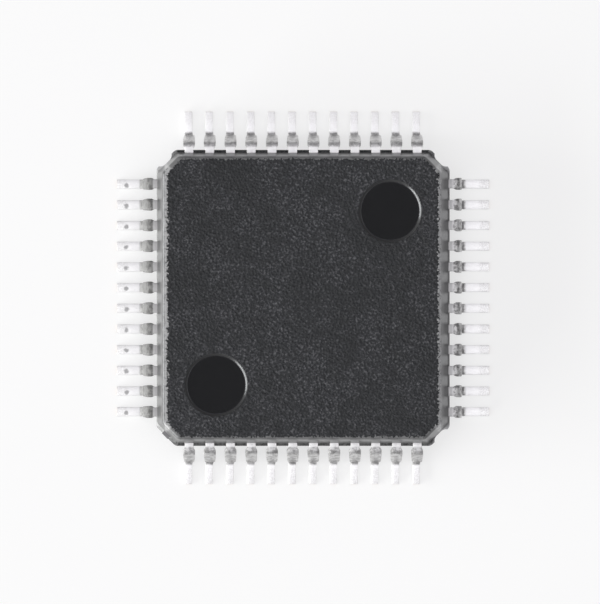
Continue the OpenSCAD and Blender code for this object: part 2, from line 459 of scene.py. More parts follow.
@dataclass(frozen=True)
class MouldingCompound:
    """Black epoxy: matte eroded faces, smoother drafted walls and polished pin marks."""

    pit: float = 0.001
    face: float = 0.009
    fleck: float = 0.1
    # The next five colours paint light onto the walls: a pale wall as painted reflection of the floor, dark
    # patches as painted reflection of the leads, a pale flash at the parting plane and a painted highlight
    # on the upper edges
    wall: float = 0.14
    shaded: float = 0.045
    ledge: float = 0.2
    lit_side_ledge: float = 0.42
    edge_highlight: float = 0.36
    mark: float = 0.004
    rim: float = 0.035
    face_x: float = 3.255
    face_y: float = 3.338
    face_corner: float = 6.25
    under_margin: float = 0.11
    fray: float = 0.26
    edge_highlight_width: float = 0.06
    side_height: float = 0.5
    end_height: float = 0.7
    grain: float = 0.055
    cloud: float = 0.2
    stain: float = 0.9
    pore: float = 0.07
    relief: float = 0.036
    face_roughness: float = 0.66
    wall_roughness: float = 0.28
    mark_roughness: float = 0.14

    def spot(self, g: Graph, mould: "Moulding") -> Spot:
        """Wires the place on the moulding.

        Args:
            g: The material's graph.
            mould: The moulding.

        Returns:
            The sockets.
        """
        across, along, height = g.add("ShaderNodeSeparateXYZ", {0: g.place}).outputs
        x = g.math("ABSOLUTE", g.math("ADD", across, -mould.upper_shift / MM))
        y = g.math("ABSOLUTE", along)
        return Spot(
            across=across,
            along=along,
            rise=g.math("SUBTRACT", height, mould.parting / MM),
            x=x,
            y=y,
            beside=g.ramp(g.math("SUBTRACT", x, y), 0.0, 0.1 / MM),
            facing=g.add("ShaderNodeSeparateXYZ", {0: g.add("ShaderNodeNewGeometry").outputs["Normal"]}),
            fine=g.noise(self.grain, 4, 0.65),
            coarse=g.noise(self.cloud, 3, 0.6),
        )

    def pin_marks(self, g: Graph, spot: Spot, mould: "Moulding") -> tuple[Any, Any]:
        """Finds the round marks.

        Args:
            g: The material's graph.
            spot: The place on the moulding.
            mould: The moulding.

        Returns:
            Share of their polished floors, and share of their whole rounds.
        """
        polished: Any = 0.0
        rim: Any = 0.0
        floor = mould.mark_radius - mould.mark_slope
        for x, y in mould.marks:
            across = g.math("SUBTRACT", spot.across, x / MM)
            along = g.math("SUBTRACT", spot.along, y / MM)
            away = g.math("SQRT", g.math("ADD", g.math("POWER", across, 2), g.math("POWER", along, 2)))
            inside = g.ramp(away, (floor + 0.01) / MM, (floor - 0.005) / MM)
            within = g.ramp(away, (mould.mark_radius + 0.01) / MM, mould.mark_radius / MM)
            polished = g.math("MAXIMUM", inside, polished)
            rim = g.math("MAXIMUM", within, rim)
        return polished, rim

    def matte(self, g: Graph, spot: Spot) -> Any:
        """Finds the eroded faces, which end raggedly at the rounded edges.

        Args:
            g: The material's graph.
            spot: The place on the moulding.

        Returns:
            Their share.
        """
        past_x = g.math("SUBTRACT", spot.x, self.face_x / MM)
        past_y = g.math("SUBTRACT", spot.y, self.face_y / MM)
        cut = g.math("SUBTRACT", g.math("ADD", spot.x, spot.y), self.face_corner / MM)
        cut = g.math("MULTIPLY", cut, math.sqrt(0.5))
        past = g.math("MAXIMUM", g.math("MAXIMUM", past_x, past_y), cut)
        frayed = g.math("MULTIPLY_ADD", g.math("SUBTRACT", spot.fine, 0.5), self.fray / MM, past)
        under = g.math("LESS_THAN", spot.rise, 0.0)
        edge = g.math("MULTIPLY_ADD", under, -self.under_margin / MM, frayed)
        flat = g.ramp(g.math("ABSOLUTE", spot.facing.outputs[2]), 0.5, 0.7)
        return g.math("MULTIPLY", g.ramp(edge, 0.005 / MM, -0.005 / MM), flat)

    def eroded(self, g: Graph, spot: Spot) -> Any:
        """Colours the eroded faces with pits, flecks and faint clouds.

        Args:
            g: The material's graph.
            spot: The place on the moulding.

        Returns:
            The colour.
        """
        pit = grey(self.pit, -0.2)
        stained = g.math("MULTIPLY", g.noise(self.stain, 2, 0.5), 0.5)
        cloudy = g.math("ADD", g.math("MULTIPLY", spot.coarse, 0.5), stained)
        base = g.mix(g.ramp(spot.fine, 0.36, 0.54), pit, grey(self.face, -0.25))
        base = g.mix(g.ramp(spot.fine, 0.5, 0.7), base, grey(self.fleck, -0.05))
        return g.mix(g.ramp(cloudy, 0.58, 0.38, 0.0, 0.85), base, pit)

    def clear_of_lead_reflection(self, g: Graph, spot: Spot, pitch: float) -> Any:
        """Finds where the walls keep their pale colour, away from the painted dark reflection of each lead.

        Args:
            g: The material's graph.
            spot: The place on the moulding.
            pitch: Pitch of the leads, in millimetres.

        Returns:
            Share of the pale colour, outside the painted reflection of the leads.
        """
        face_x = g.math("ABSOLUTE", spot.facing.outputs[0])
        sideways = g.math("SUBTRACT", face_x, g.math("ABSOLUTE", spot.facing.outputs[1]))
        # Painted reflection of the leads: the lower walls are painted darker behind each lead, at the
        # leads' pitch, where the glossy wall would mirror the dark lead
        shaded: Any = 0.0
        for place_in_row, facing in ((spot.along, 1), (spot.across, -1)):
            cycle = g.math("FRACT", g.math("DIVIDE", place_in_row, pitch / MM))
            off = g.math("ABSOLUTE", g.math("SUBTRACT", cycle, 0.5))
            rough = g.math("MULTIPLY_ADD", g.math("SUBTRACT", spot.coarse, 0.5), 0.2, off)
            this_way = g.ramp(sideways, 0.3 * facing, 0.4 * facing)
            behind = g.math("MULTIPLY", g.ramp(rough, 0.27, 0.19), this_way)
            shaded = g.math("MAXIMUM", behind, shaded)
        row_end = 5.5 * pitch + 0.1
        in_row = g.ramp(g.math("MINIMUM", spot.x, spot.y), (row_end + 0.02) / MM, (row_end - 0.02) / MM)
        step = (self.side_height - self.end_height) / MM
        top = g.math("MULTIPLY_ADD", spot.beside, step, self.end_height / MM)
        low = g.ramp(g.math("SUBTRACT", spot.rise, top), 0.0, -0.25 / MM)
        pale = g.math("MULTIPLY_ADD", g.math("MULTIPLY", shaded, g.math("MULTIPLY", in_row, low)), -1, 1)
        return g.math("MULTIPLY", pale, g.ramp(spot.coarse, 0.25, 0.55, 0.6, 1.0))

    def walls(self, g: Graph, spot: Spot, flash: Any, pitch: float) -> Any:
        """Colours the walls with painted light: pale as painted reflection of the floor, with painted
        reflections of the leads, a pale flash at the parting plane and a painted highlight on the upper
        edges.

        Args:
            g: The material's graph.
            spot: The place on the moulding.
            flash: Share of the flash.
            pitch: Pitch of the leads, in millimetres.

        Returns:
            The colour.
        """
        # The flash at the parting plane is painted pale, as painted light, and paler at the left and right
        # than at the front and back
        mottled = g.mix(g.ramp(spot.fine, 0.38, 0.6), grey(self.ledge * 0.4), grey(self.ledge))
        ledge = g.mix(spot.beside, mottled, grey(self.lit_side_ledge))
        pale = self.clear_of_lead_reflection(g, spot, pitch)
        # The walls are painted pale, well above the epoxy's own colour, as painted reflection of the bright
        # floor
        drafted = g.mix(flash, g.mix(pale, grey(self.shaded, -0.02), grey(self.wall)), ledge)
        # Painted highlight on the long upper edges at the left and right only, where the side lamps catch
        # them
        start = g.math("MULTIPLY_ADD", spot.coarse, 0.05 / MM, (self.face_x + self.edge_highlight_width) / MM)
        near = g.ramp(spot.x, start, g.math("SUBTRACT", start, 0.03 / MM))
        edge_highlight = g.math("MULTIPLY", g.math("MULTIPLY", near, spot.beside), g.ramp(spot.fine, 0.3, 0.55))
        edge_highlight = g.math("MULTIPLY", edge_highlight, g.math("GREATER_THAN", spot.rise, 0.0))
        return g.mix(edge_highlight, drafted, grey(self.edge_highlight))

    def make(self, mould: "Moulding", pitch: float) -> bpy.types.Material:
        """Makes the material.

        Args:
            mould: The moulding that it is for.
            pitch: Pitch of the leads, in millimetres.

        Returns:
            The material.
        """
        g = Graph("moulding_compound")
        spot = self.spot(g, mould)
        polished, rim = self.pin_marks(g, spot, mould)
        flash = g.ramp(g.math("ABSOLUTE", spot.rise), 0.012 / MM, 0.004 / MM)
        matte = g.math("MULTIPLY", self.matte(g, spot), g.math("SUBTRACT", 1, rim))
        matte = g.math("MULTIPLY", matte, g.math("SUBTRACT", 1, flash))
        smooth = g.mix(rim, self.walls(g, spot, flash, pitch), grey(self.rim))
        smooth = g.mix(polished, smooth, grey(self.mark, -0.05))
        g.set(Base_Color=g.mix(matte, smooth, self.eroded(g, spot)))

        smoother = self.mark_roughness - self.wall_roughness
        even = g.math("MULTIPLY_ADD", polished, smoother, self.wall_roughness)
        rough = g.math("MULTIPLY_ADD", spot.coarse, 0.12, self.face_roughness - 0.06)
        bare = g.math("SUBTRACT", 1, matte)
        g.set(Roughness=g.math("ADD", g.math("MULTIPLY", bare, even), g.math("MULTIPLY", matte, rough)))

        pores = g.math("MULTIPLY", g.cells(self.pore), 0.4)
        relief = g.math("ADD", g.math("MULTIPLY", spot.fine, 0.6), pores)
        deep = g.math("MULTIPLY_ADD", matte, 0.92, 0.08)
        g.set(Normal=g.bump(g.math("MULTIPLY", relief, deep), self.relief))
        g.set(IOR=1.55, Specular_Tint=(0.94, 0.965, 1.0, 1.0))
        return g.material


@dataclass(frozen=True)
class TinPlate:
    """Matte tin over the leads of one side, with painted shade on the roots and bends, and bare metal
    inside.
    """

    side: Side
    # Painted shade on the bends from the shoulder to the heel
    bend_shade: float
    # Painted shade on the root between the wall and the shoulder
    root: float
    shade_start: float = 0.0
    shade_end: float = 0.0
    blotch: float = 0.5
    scuff_length: float = 0.3
    scuffed: float = 0.8
    tin: float = 0.97
    roughness: float = 0.45
    bend_roughness: float = 0.45
    metal: float = 0.9
    probe: float = 0.0
    probe_reach: float = 4.27
    probe_aside: float = 0.024
    probe_radius: float = 0.075
    grain: float = 0.03
    patch: float = 0.1
    relief: float = 0.004

    def touched(self, g: Graph, across: Any, reach: Any, patch: Any, pitch: float) -> Any:
        """Finds where a test probe has touched each foot.

        Args:
            g: The material's graph.
            across: Place along the row of leads.
            reach: Distance from the middle of the pack.
            patch: Noise that frays the touch.
            pitch: Pitch of the leads, in millimetres.

        Returns:
            Share of the touch.
        """
        cycle = g.math("FRACT", g.math("DIVIDE", across, pitch / MM))
        aside = g.math("MULTIPLY_ADD", cycle, pitch / MM, (self.probe_aside - pitch / 2) / MM)
        ahead = g.math("SUBTRACT", reach, self.probe_reach / MM)
        away = g.math("SQRT", g.math("ADD", g.math("POWER", aside, 2), g.math("POWER", ahead, 2)))
        frayed = g.math("MULTIPLY_ADD", g.math("SUBTRACT", patch, 0.5), 0.12 / MM, away)
        return g.ramp(frayed, self.probe_radius / MM, 0.4 * self.probe_radius / MM)

    def make(self, stations: "Stations") -> bpy.types.Material:
        """Makes the material.

        Args:
            stations: Distances from the middle of the pack at which a lead changes.

        Returns:
            The material.
        """
        g = Graph(f"tin_{self.side.name.lower()}")
        apart = g.add("ShaderNodeSeparateXYZ", {0: g.place})
        out, across = (0, 1) if self.side in (Side.LEFT, Side.RIGHT) else (1, 0)
        reach = g.math("ABSOLUTE", apart.outputs[out])
        fine = g.noise(self.grain, 4, 0.6)
        patch = g.noise(self.patch, 4, 0.62)
        start, tip = stations.shoulder + self.shade_start, stations.tip
        heel = stations.heel + self.shade_end
        # The tips are scuffed where they were cut
        cut = g.ramp(reach, (tip - self.scuff_length) / MM, (tip - self.scuff_length + 0.12) / MM)
        scuff = g.math("MULTIPLY", cut, g.ramp(fine, 0.35, 0.6))
        plated = g.mix(g.ramp(fine, 0.3, 0.75), grey(self.tin), grey(self.tin * 0.95, 0.004))
        finish = g.mix(scuff, plated, grey(self.scuffed, 0.005))
        if self.probe:
            touched = self.touched(g, apart.outputs[across], reach, patch, stations.pitch)
            above = g.math("GREATER_THAN", apart.outputs[2], 0.06 / MM)
            finish = g.mix(g.math("MULTIPLY", touched, above), finish, grey(self.probe))
        # The root between the wall and the shoulder is painted darker as painted shade, most at the left
        # and right, where the moulding shades it
        finish = g.mix(g.ramp(reach, (start + 0.05) / MM, start / MM), finish, grey(self.root, 0.005))
        # Painted shade on the bends from the shoulder to the heel, strongest where the shoulder starts, in
        # mottled patches
        formed = g.math(
            "MULTIPLY",
            g.ramp(reach, start / MM, (start + 0.06) / MM),
            g.ramp(reach, (heel + 0.03) / MM, (heel - 0.04) / MM),
        )
        firm = g.ramp(reach, (start + 0.25) / MM, (start + 0.12) / MM, 0.82, 1.0)
        bend_shaded = g.math("MULTIPLY_ADD", g.ramp(patch, 0.4, 0.62), self.blotch, 1 - self.blotch)
        bend_shaded = g.math("MULTIPLY", g.math("MULTIPLY", formed, firm), bend_shaded)
        finish = g.mix(bend_shaded, finish, grey(self.bend_shade, 0.01))
        # The ends were cut after plating and show the alloy, as does all inside the moulding
        finish = g.mix(g.ramp(reach, (tip - 0.003) / MM, (tip - 0.001) / MM), finish, FrameAlloy.aged)
        inside = g.ramp(reach, (stations.wall - 0.06) / MM, (stations.wall - 0.1) / MM)
        g.set(Base_Color=g.mix(inside, finish, FrameAlloy.copper), Metallic=self.metal)
        even = g.math("MULTIPLY_ADD", bend_shaded, self.bend_roughness - self.roughness, self.roughness - 0.07)
        g.set(Roughness=g.math("MULTIPLY_ADD", fine, 0.15, even))
        g.set(Normal=g.bump(g.math("ADD", fine, patch), self.relief))
        return g.material


@dataclass(frozen=True)
class FrameAlloy:
    """Rolled copper alloy of the die pad, with a faint grain along the strip."""

    copper: tuple[float, float, float, float] = (0.72, 0.50, 0.33, 1.0)
    aged: tuple[float, float, float, float] = (0.55, 0.38, 0.27, 1.0)
    cut_end: float = 0.25

    def make(self, bar_end: float) -> bpy.types.Material:
        """Makes the material.

        Args:
            bar_end: Distance of the shorter tie bars' ends from the middle, in millimetres.

        Returns:
            The material.
        """
        g = Graph("frame_alloy")
        apart = g.add("ShaderNodeSeparateXYZ", {0: g.place})
        far = g.math("ADD", g.math("ABSOLUTE", apart.outputs[0]), g.math("ABSOLUTE", apart.outputs[1]))
        tinned = g.ramp(far, (bar_end - 0.12) * math.sqrt(2) / MM, (bar_end - 0.1) * math.sqrt(2) / MM)
        drawn = g.add("ShaderNodeMapping", {"Vector": g.place, "Scale": (1, 14, 1)}).outputs[0]
        streak = g.noise(0.8, 4, 0.6, drawn)
        bare = g.mix(g.ramp(streak, 0.3, 0.75), self.copper, self.aged)
        g.set(Base_Color=g.mix(tinned, bare, grey(self.cut_end)), Metallic=1.0)
        g.set(Roughness=g.math("MULTIPLY_ADD", streak, 0.25, 0.22))
        g.set(Normal=g.bump(streak, 0.002))
        return g.material


@dataclass(frozen=True)
class SilverAdhesive:
    """Epoxy filled with silver flakes."""

    resin: float = 0.45
    flake: float = 0.8

    def make(self) -> bpy.types.Material:
        """Makes the material.

        Returns:
            The material.
        """
        g = Graph("silver_adhesive")
        flakes = g.cells(0.02)
        g.set(Base_Color=g.mix(g.ramp(flakes, 0.2, 0.5), grey(self.flake), grey(self.resin)), Metallic=0.8)
        g.set(Roughness=g.math("MULTIPLY_ADD", flakes, 0.3, 0.3), Normal=g.bump(flakes, 0.003))
        return g.material


@dataclass(frozen=True)
class Silicon:
    """Die: blue-grey circuit blocks between pale metal lines."""

    bare: tuple[float, float, float, float] = (0.10, 0.12, 0.16, 1.0)
    block: tuple[float, float, float, float] = (0.16, 0.21, 0.24, 1.0)

    def make(self) -> bpy.types.Material:
        """Makes the material.

        Returns:
            The material.
        """
        g = Graph("silicon")
        blocks = g.cells(0.3, distance="CHEBYCHEV")
        rows = g.cells(0.05, distance="MANHATTAN")
        g.set(Base_Color=g.mix(g.ramp(g.math("ADD", blocks, rows), 0.5, 0.9), self.block, self.bare))
        g.set(Metallic=0.55, Roughness=g.math("MULTIPLY_ADD", rows, 0.2, 0.12), Normal=g.bump(rows, 0.001))
        return g.material


@dataclass(frozen=True)
class BondGold:
    """Drawn gold wire."""

    gold: tuple[float, float, float, float] = (1.0, 0.74, 0.30, 1.0)
    shade: tuple[float, float, float, float] = (0.88, 0.60, 0.22, 1.0)

    def make(self) -> bpy.types.Material:
        """Makes the material.

        Returns:
            The material.
        """
        g = Graph("bond_gold")
        grain = g.noise(0.02, 2)
        g.set(Base_Color=g.mix(grain, self.gold, self.shade), Metallic=1.0)
        g.set(Roughness=g.math("MULTIPLY_ADD", grain, 0.1, 0.15))
        return g.material


@dataclass(frozen=True)
class PaperFloor:
    """Plain white sheet that the pack stands on."""

    white: float = 0.956
    lift: float = 0.7

    def make(self) -> bpy.types.Material:
        """Makes the material.

        Returns:
            The material.
        """
        g = Graph("paper_floor")
        # What looks at the sheet sees its shadows softened, and it lights nothing more for that
        path = g.add("ShaderNodeLightPath")
        seen = [path.outputs[f"Is {kind} Ray"] for kind in ("Camera", "Glossy", "Transmission")]
        looked = g.math("MAXIMUM", g.math("MAXIMUM", seen[0], seen[1]), seen[2])
        lit = grey(self.white * (1 - self.lift))
        g.set(Base_Color=g.mix(looked, grey(self.white), lit), Roughness=0.9, Specular_IOR_Level=0.0)
        glow = g.math("MULTIPLY", looked, self.white * self.lift)
        g.set(Emission_Color=grey(1.0), Emission_Strength=glow)
        # From below, the sheet does not hide the pack
        back = g.add("ShaderNodeNewGeometry").outputs["Backfacing"]
        clear = g.add("ShaderNodeBsdfTransparent").outputs[0]
        sheet = g.add("ShaderNodeMixShader", {0: back, 1: g.shader.outputs[0], 2: clear})
        g.feed(g.tree.nodes["Material Output"].inputs["Surface"], sheet.outputs[0])
        return g.material


# ---- The moulding ----


@dataclass
class Moulding:
    """Body of the pack: two drafted halves, notched corners, pin marks and pockets for the frame."""

    box: Box
    parting: float
    upper_half_x: float = 3.512
    upper_half_y: float = 3.5
    upper_shift: float = -0.005
    upper_corner: float = 0.48
    lower_corner: float = 0.45
    draft: float = math.radians(15)
    end_flare: float = 1.022
    lean: float = -0.03
    edge_radius: float = 0.1
    corner_radius: float = 0.05
    notch_depth: float = 0.075
    notch_mouth: float = 0.46
    notch_floor: float = 0.26
    mark_offset: float = 2.09
    mark_radius: float = 0.75
    mark_depth: float = 0.04
    mark_slope: float = 0.045
    rim_round: float = 0.012
    marks: list[tuple[float, float]] = field(default_factory=list)

    def __post_init__(self) -> None:
        """Works out where the round marks lie."""
        self.marks = [(side * self.mark_offset, side * self.mark_offset) for side in (-1, 1)]

    @property
    def lower_reach(self) -> float:
        """Distance of the lower half's corner flats from its middle."""
        return (self.box.high.x + self.box.high.y - self.lower_corner) / math.sqrt(2)

    def half(self, name: str, size: Vector, corner: float, height: float) -> bpy.types.Object:
        """Models one half of the moulding, with its open side on the parting plane.

        Args:
            name: Name of the object.
            size: Half its width and depth at the parting plane.
            corner: Length that a corner flat takes from each side.
            height: Height above the parting plane, or depth below it if negative.

        Returns:
            The half, as a cup.
        """
        cup = Workpiece.start(name, bpy.ops.mesh.primitive_plane_add, size=2, location=(0, 0, self.parting))
        cup.pick(Element.FACE, lambda f: True)
        bpy.ops.transform.resize(value=(size.x, size.y, 1))
        bpy.ops.mesh.select_mode(type="VERT")
        bpy.ops.mesh.bevel(offset=corner, affect="VERTICES", segments=1, clamp_overlap=False)
        cup.pick(Element.FACE, lambda f: True)
        if height < 0:
            bpy.ops.mesh.flip_normals()
        bpy.ops.mesh.inset(thickness=abs(height) * math.tan(self.draft), depth=abs(height))
        if height > 0:
            bpy.ops.transform.resize(value=(1, self.end_flare, 1))
            bpy.ops.transform.translate(value=(self.lean, 0, 0))
        # Round the upright edges between walls and corner flats, then the edge of the face
        cup.pick(Element.EDGE, lambda e: abs(e.verts[0].co.z - e.verts[1].co.z) > abs(height) / 2)
        bpy.ops.mesh.bevel(offset=self.corner_radius, segments=3, affect="EDGES")
        far = self.parting + height
        cup.pick(Element.EDGE, lambda e: all(abs(v.co.z - far) < 1e-4 for v in e.verts))
        tangent = self.edge_radius / math.tan((math.pi / 2 + self.draft) / 2)
        bpy.ops.mesh.bevel(offset=tangent, segments=6, affect="EDGES", profile=0.5)
        bpy.ops.object.mode_set(mode="OBJECT")
        return cup.object

    def shell(self) -> bpy.types.Object:
        """Models both halves and joins them along the ledge at the parting plane.

        Returns:
            The closed outside of the moulding.
        """
        size = Vector((self.upper_half_x, self.upper_half_y))
        upper = self.half("mould", size, self.upper_corner, self.box.high.z - self.parting)
        place(upper, Matrix.Translation((self.upper_shift, 0, 0)))
        lower = self.half("lower", self.box.high.xy, self.lower_corner, self.box.low.z - self.parting)
        lower.select_set(True)
        upper.select_set(True)
        bpy.context.view_layer.objects.active = upper
        bpy.ops.object.join()
        bpy.ops.object.mode_set(mode="EDIT")
        bpy.ops.mesh.select_mode(type="EDGE")
        bpy.ops.mesh.select_all(action="DESELECT")
        bpy.ops.mesh.select_non_manifold(extend=False)
        bpy.ops.mesh.bridge_edge_loops()
        bpy.ops.mesh.select_all(action="SELECT")
        bpy.ops.mesh.normals_make_consistent(inside=False)
        bpy.ops.object.mode_set(mode="OBJECT")
        return upper

    def notch_cutter(self) -> bpy.types.Object:
        """Models the punch that trims a lower corner, at the right rear corner.

        Returns:
            The cutter.
        """
        deep = self.lower_reach - self.notch_depth
        middle_x = deep + self.box.high.x / 2
        punch = Workpiece.start(
            "punch",
            bpy.ops.mesh.primitive_cube_add,
            size=1,
            location=(middle_x, 0, self.parting),
            scale=(self.box.high.x, self.notch_floor, 4 * self.parting),
        )
        # The punch widens from its end to the mouth of the notch and is straight from there
        punch.pick(Element.FACE, lambda f: f.normal.x > 0.9)
        bpy.ops.transform.translate(value=(self.notch_depth - self.box.high.x, 0, 0))
        bpy.ops.transform.resize(value=(1, self.notch_mouth / self.notch_floor, 1))
        bpy.ops.mesh.extrude_region_move(TRANSFORM_OT_translate={"value": (self.box.high.x, 0, 0)})
        punch.pick(Element.EDGE, lambda e: abs(e.verts[0].co.z - e.verts[1].co.z) > self.parting)
        bpy.ops.mesh.bevel(offset=self.corner_radius, segments=4, affect="EDGES")
        return punch.close()

    def mark_cutter(self, height: float, up: float) -> bpy.types.Object:
        """Models the end of an ejector pin, at the middle of the pack.

        Args:
            height: Height of the face that it marks.
            up: 1 for the top face and -1 for the underside.

        Returns:
            The cutter.
        """
        pin = Workpiece.start(
            "pin",
            bpy.ops.mesh.primitive_cylinder_add,
            vertices=96,
            radius=self.mark_radius - self.mark_slope,
            depth=2 * self.mark_depth,
            location=(0, 0, height),
        )
        # The end keeps the floor's size, and the rest flares to the rim and beyond
        pin.pick(Element.FACE, lambda f: f.normal.z * up > 0.9)
        flare = (self.mark_radius + self.mark_slope) / (self.mark_radius - self.mark_slope)
        bpy.ops.transform.resize(value=(flare, flare, 1))
        pin.pick(Element.EDGE, lambda e: all((v.co.z - height) * up < 0 for v in e.verts))
        bpy.ops.mesh.bevel(offset=self.rim_round, segments=3, affect="EDGES")
        return pin.close()

    def trim(self, body: bpy.types.Object) -> None:
        """Cuts the corner notches and the round marks.

        Args:
            body: The closed outside of the moulding.
        """
        for corner in (45, 135, 315):
            punch = self.notch_cutter()
            place(punch, Matrix.Rotation(math.radians(corner), 4, "Z"))
            carve(body, punch)
        for x, y in self.marks:
            for height, up in ((self.box.high.z, 1), (self.box.low.z, -1)):
                pin = self.mark_cutter(height, up)
                place(pin, Matrix.Translation((x, y, 0)))
                carve(body, pin)

    def round_rims(self, body: bpy.types.Object) -> None:
        """Rounds the rims of the round marks.

        Args:
            body: The moulding with its marks cut.
        """
        rim = Workpiece(body)

        def on_rim(edge: Any) -> bool:
            """Says whether an edge is one of a round mark's rim.

            Args:
                edge: The edge.

            Returns:
                True on a rim.
            """
            heights = (self.box.low.z, self.box.high.z)
            level = any(all(abs(v.co.z - z) < 1e-4 for v in edge.verts) for z in heights)
            away = min((middle(edge).xy - Vector(mark)).length - self.mark_radius for mark in self.marks)
            return level and abs(away) < 0.02 and edge.calc_length() < 0.1

        rim.pick(Element.EDGE, on_rim)
        bpy.ops.mesh.bevel(offset=self.rim_round, segments=3, affect="EDGES")
        bpy.ops.object.mode_set(mode="OBJECT")

    def build(self, leads: bpy.types.Object, core: tuple[str, ...]) -> bpy.types.Object:
        """Models the moulding.

        Args:
            leads: Joined blanks of the leads, which leave their pockets.
            core: CAD nodes that the moulding closes round.

        Returns:
            The finished piece, in metres.
        """
        body = self.shell()
        self.trim(body)
        self.round_rims(body)
        carve(body, leads)
        for node in core:
            carve(body, merged_copy(node))
        only(body)
        bpy.ops.object.shade_smooth_by_angle(angle=math.radians(35))
        apply(body, "WEIGHTED_NORMAL", keep_sharp=True)
        to_metres(body)
        return body

    def dress(self, body: bpy.types.Object, pitch: float) -> None:
        """Gives the moulding its finish and its place.

        Args:
            body: The finished moulding.
            pitch: Pitch of the leads.
        """
        install(body, "mould_body", MouldingCompound().make(self, pitch))


# ---- The leads ----


@dataclass(frozen=True)
class Stations:
    """Distances from the middle of the pack at which a lead changes, and the leads' pitch."""

    wall: float
    shoulder: float
    heel: float
    tip: float
    pitch: float


@dataclass(frozen=True)
class LeadForm:
    """What differs between the sides, each of which was trimmed and formed by its own tool."""

    shoulder: float = 3.61
    leg_slope: float = 80.0
    foot_width: float = 0.22
    foot_aside: float = 0.0

    @property
    def tilt(self) -> float:
        """Angle of the leg from the upright, in radians."""
        return math.radians(90 - self.leg_slope)


